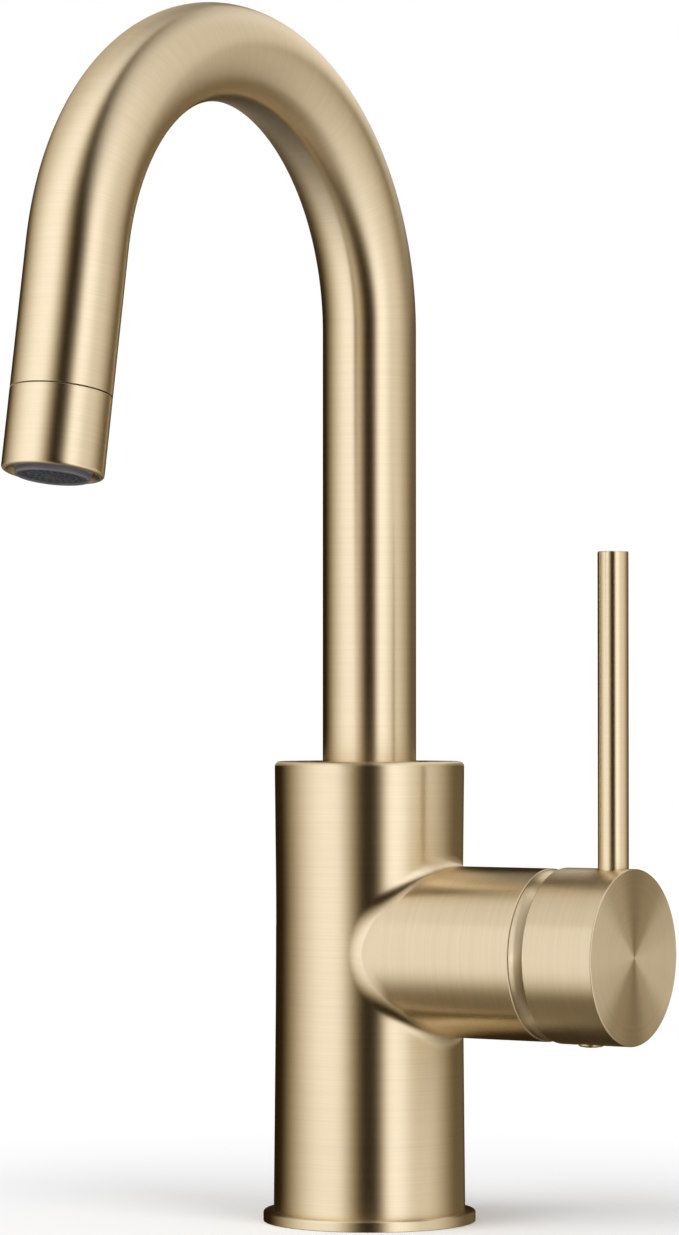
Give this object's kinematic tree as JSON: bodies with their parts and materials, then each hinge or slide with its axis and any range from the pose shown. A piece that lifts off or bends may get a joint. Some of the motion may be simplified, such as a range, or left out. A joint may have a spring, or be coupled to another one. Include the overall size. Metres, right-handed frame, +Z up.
{
  "type": "gooseneck bar faucet",
  "caption": "Deck-mounted gooseneck bar faucet with a swivelling tubular spout, a side branch, and a round hub with a thin upright lever that mixes and opens the water.",
  "frame": {"origin": "centre of the deck hole at the deck's top face, on the axis of the body and the swivel", "axes": "+Z up along the body and the spout's riser, -Y towards the spout's outlet, +X along the side branch towards the handle"},
  "size_m": [0.1119, 0.1822, 0.3681],
  "materials": {
    "gold": "fine brushed champagne gold, satin",
    "brass": "turned bare brass",
    "steel": "plain steel",
    "rubber": "matt black rubber",
    "white_plastic": "moulded acetal",
    "grey_plastic": "moulded grey plastic",
    "dark_plastic": "moulded dark grey plastic",
    "ceramic": "lapped alumina"
  },
  "bodies": {
    "faucet_body": {"base_ring": "gold", "base_gasket": "rubber", "threaded_shank": "brass", "rubber_washer": "rubber", "steel_washer": "steel", "mounting_nut": "brass", "jack_screw_left": "steel", "jack_screw_right": "steel", "body": "gold", "spout_thrust_washer": "white_plastic", "slip_washer": "white_plastic", "spout_collar": "gold", "cartridge_base": "white_plastic", "cold_port_seal": "rubber", "hot_port_seal": "rubber", "mixed_port_seal": "rubber", "fixed_disc": "ceramic", "cartridge_housing": "white_plastic", "cartridge_nut": "brass", "dome_ring": "gold"},
    "spout": {"spout_tube": "gold", "spout_adapter": "brass", "spout_o_ring_1": "rubber", "spout_o_ring_2": "rubber", "outlet_nipple": "brass", "outlet_sleeve": "gold", "aerator_seal": "rubber", "aerator_housing": "grey_plastic", "aerator_screen": "steel", "aerator_core": "white_plastic", "outlet_insert": "dark_plastic"},
    "carrier": {"cartridge_carrier": "dark_plastic", "pivot_pin": "steel"},
    "slider": {"sliding_disc": "ceramic", "disc_driver": "white_plastic"},
    "handle": {"lever_stem": "brass", "handle_hub": "gold", "lever_rod": "gold", "handle_set_screw": "steel", "screw_plug": "gold"}
  },
  "joints": [
    {"name": "spout_swivel", "type": "hinge", "parent": "faucet_body", "child": "spout", "pos_m": [0, 0, 0.0865], "axis": [0, 0, 1], "continuous": true},
    {"name": "handle_turn", "type": "hinge", "parent": "faucet_body", "child": "carrier", "pos_m": [0.0514, 0, 0.0723], "axis": [1, 0, 0], "range_deg": [-45, 45]},
    {"name": "handle_lift", "type": "hinge", "parent": "carrier", "child": "handle", "pos_m": [0.0514, 0, 0.0723], "axis": [0, 1, 0], "range_deg": [0, 22]},
    {"name": "disc_slide", "type": "slide", "parent": "carrier", "child": "slider", "axis": [0, 0, 1], "range_m": [0, 0.0045]}
  ],
  "couplings": [
    {"joint": "disc_slide", "follows": "handle_lift", "m_per_rad": 0.0112}
  ]
}
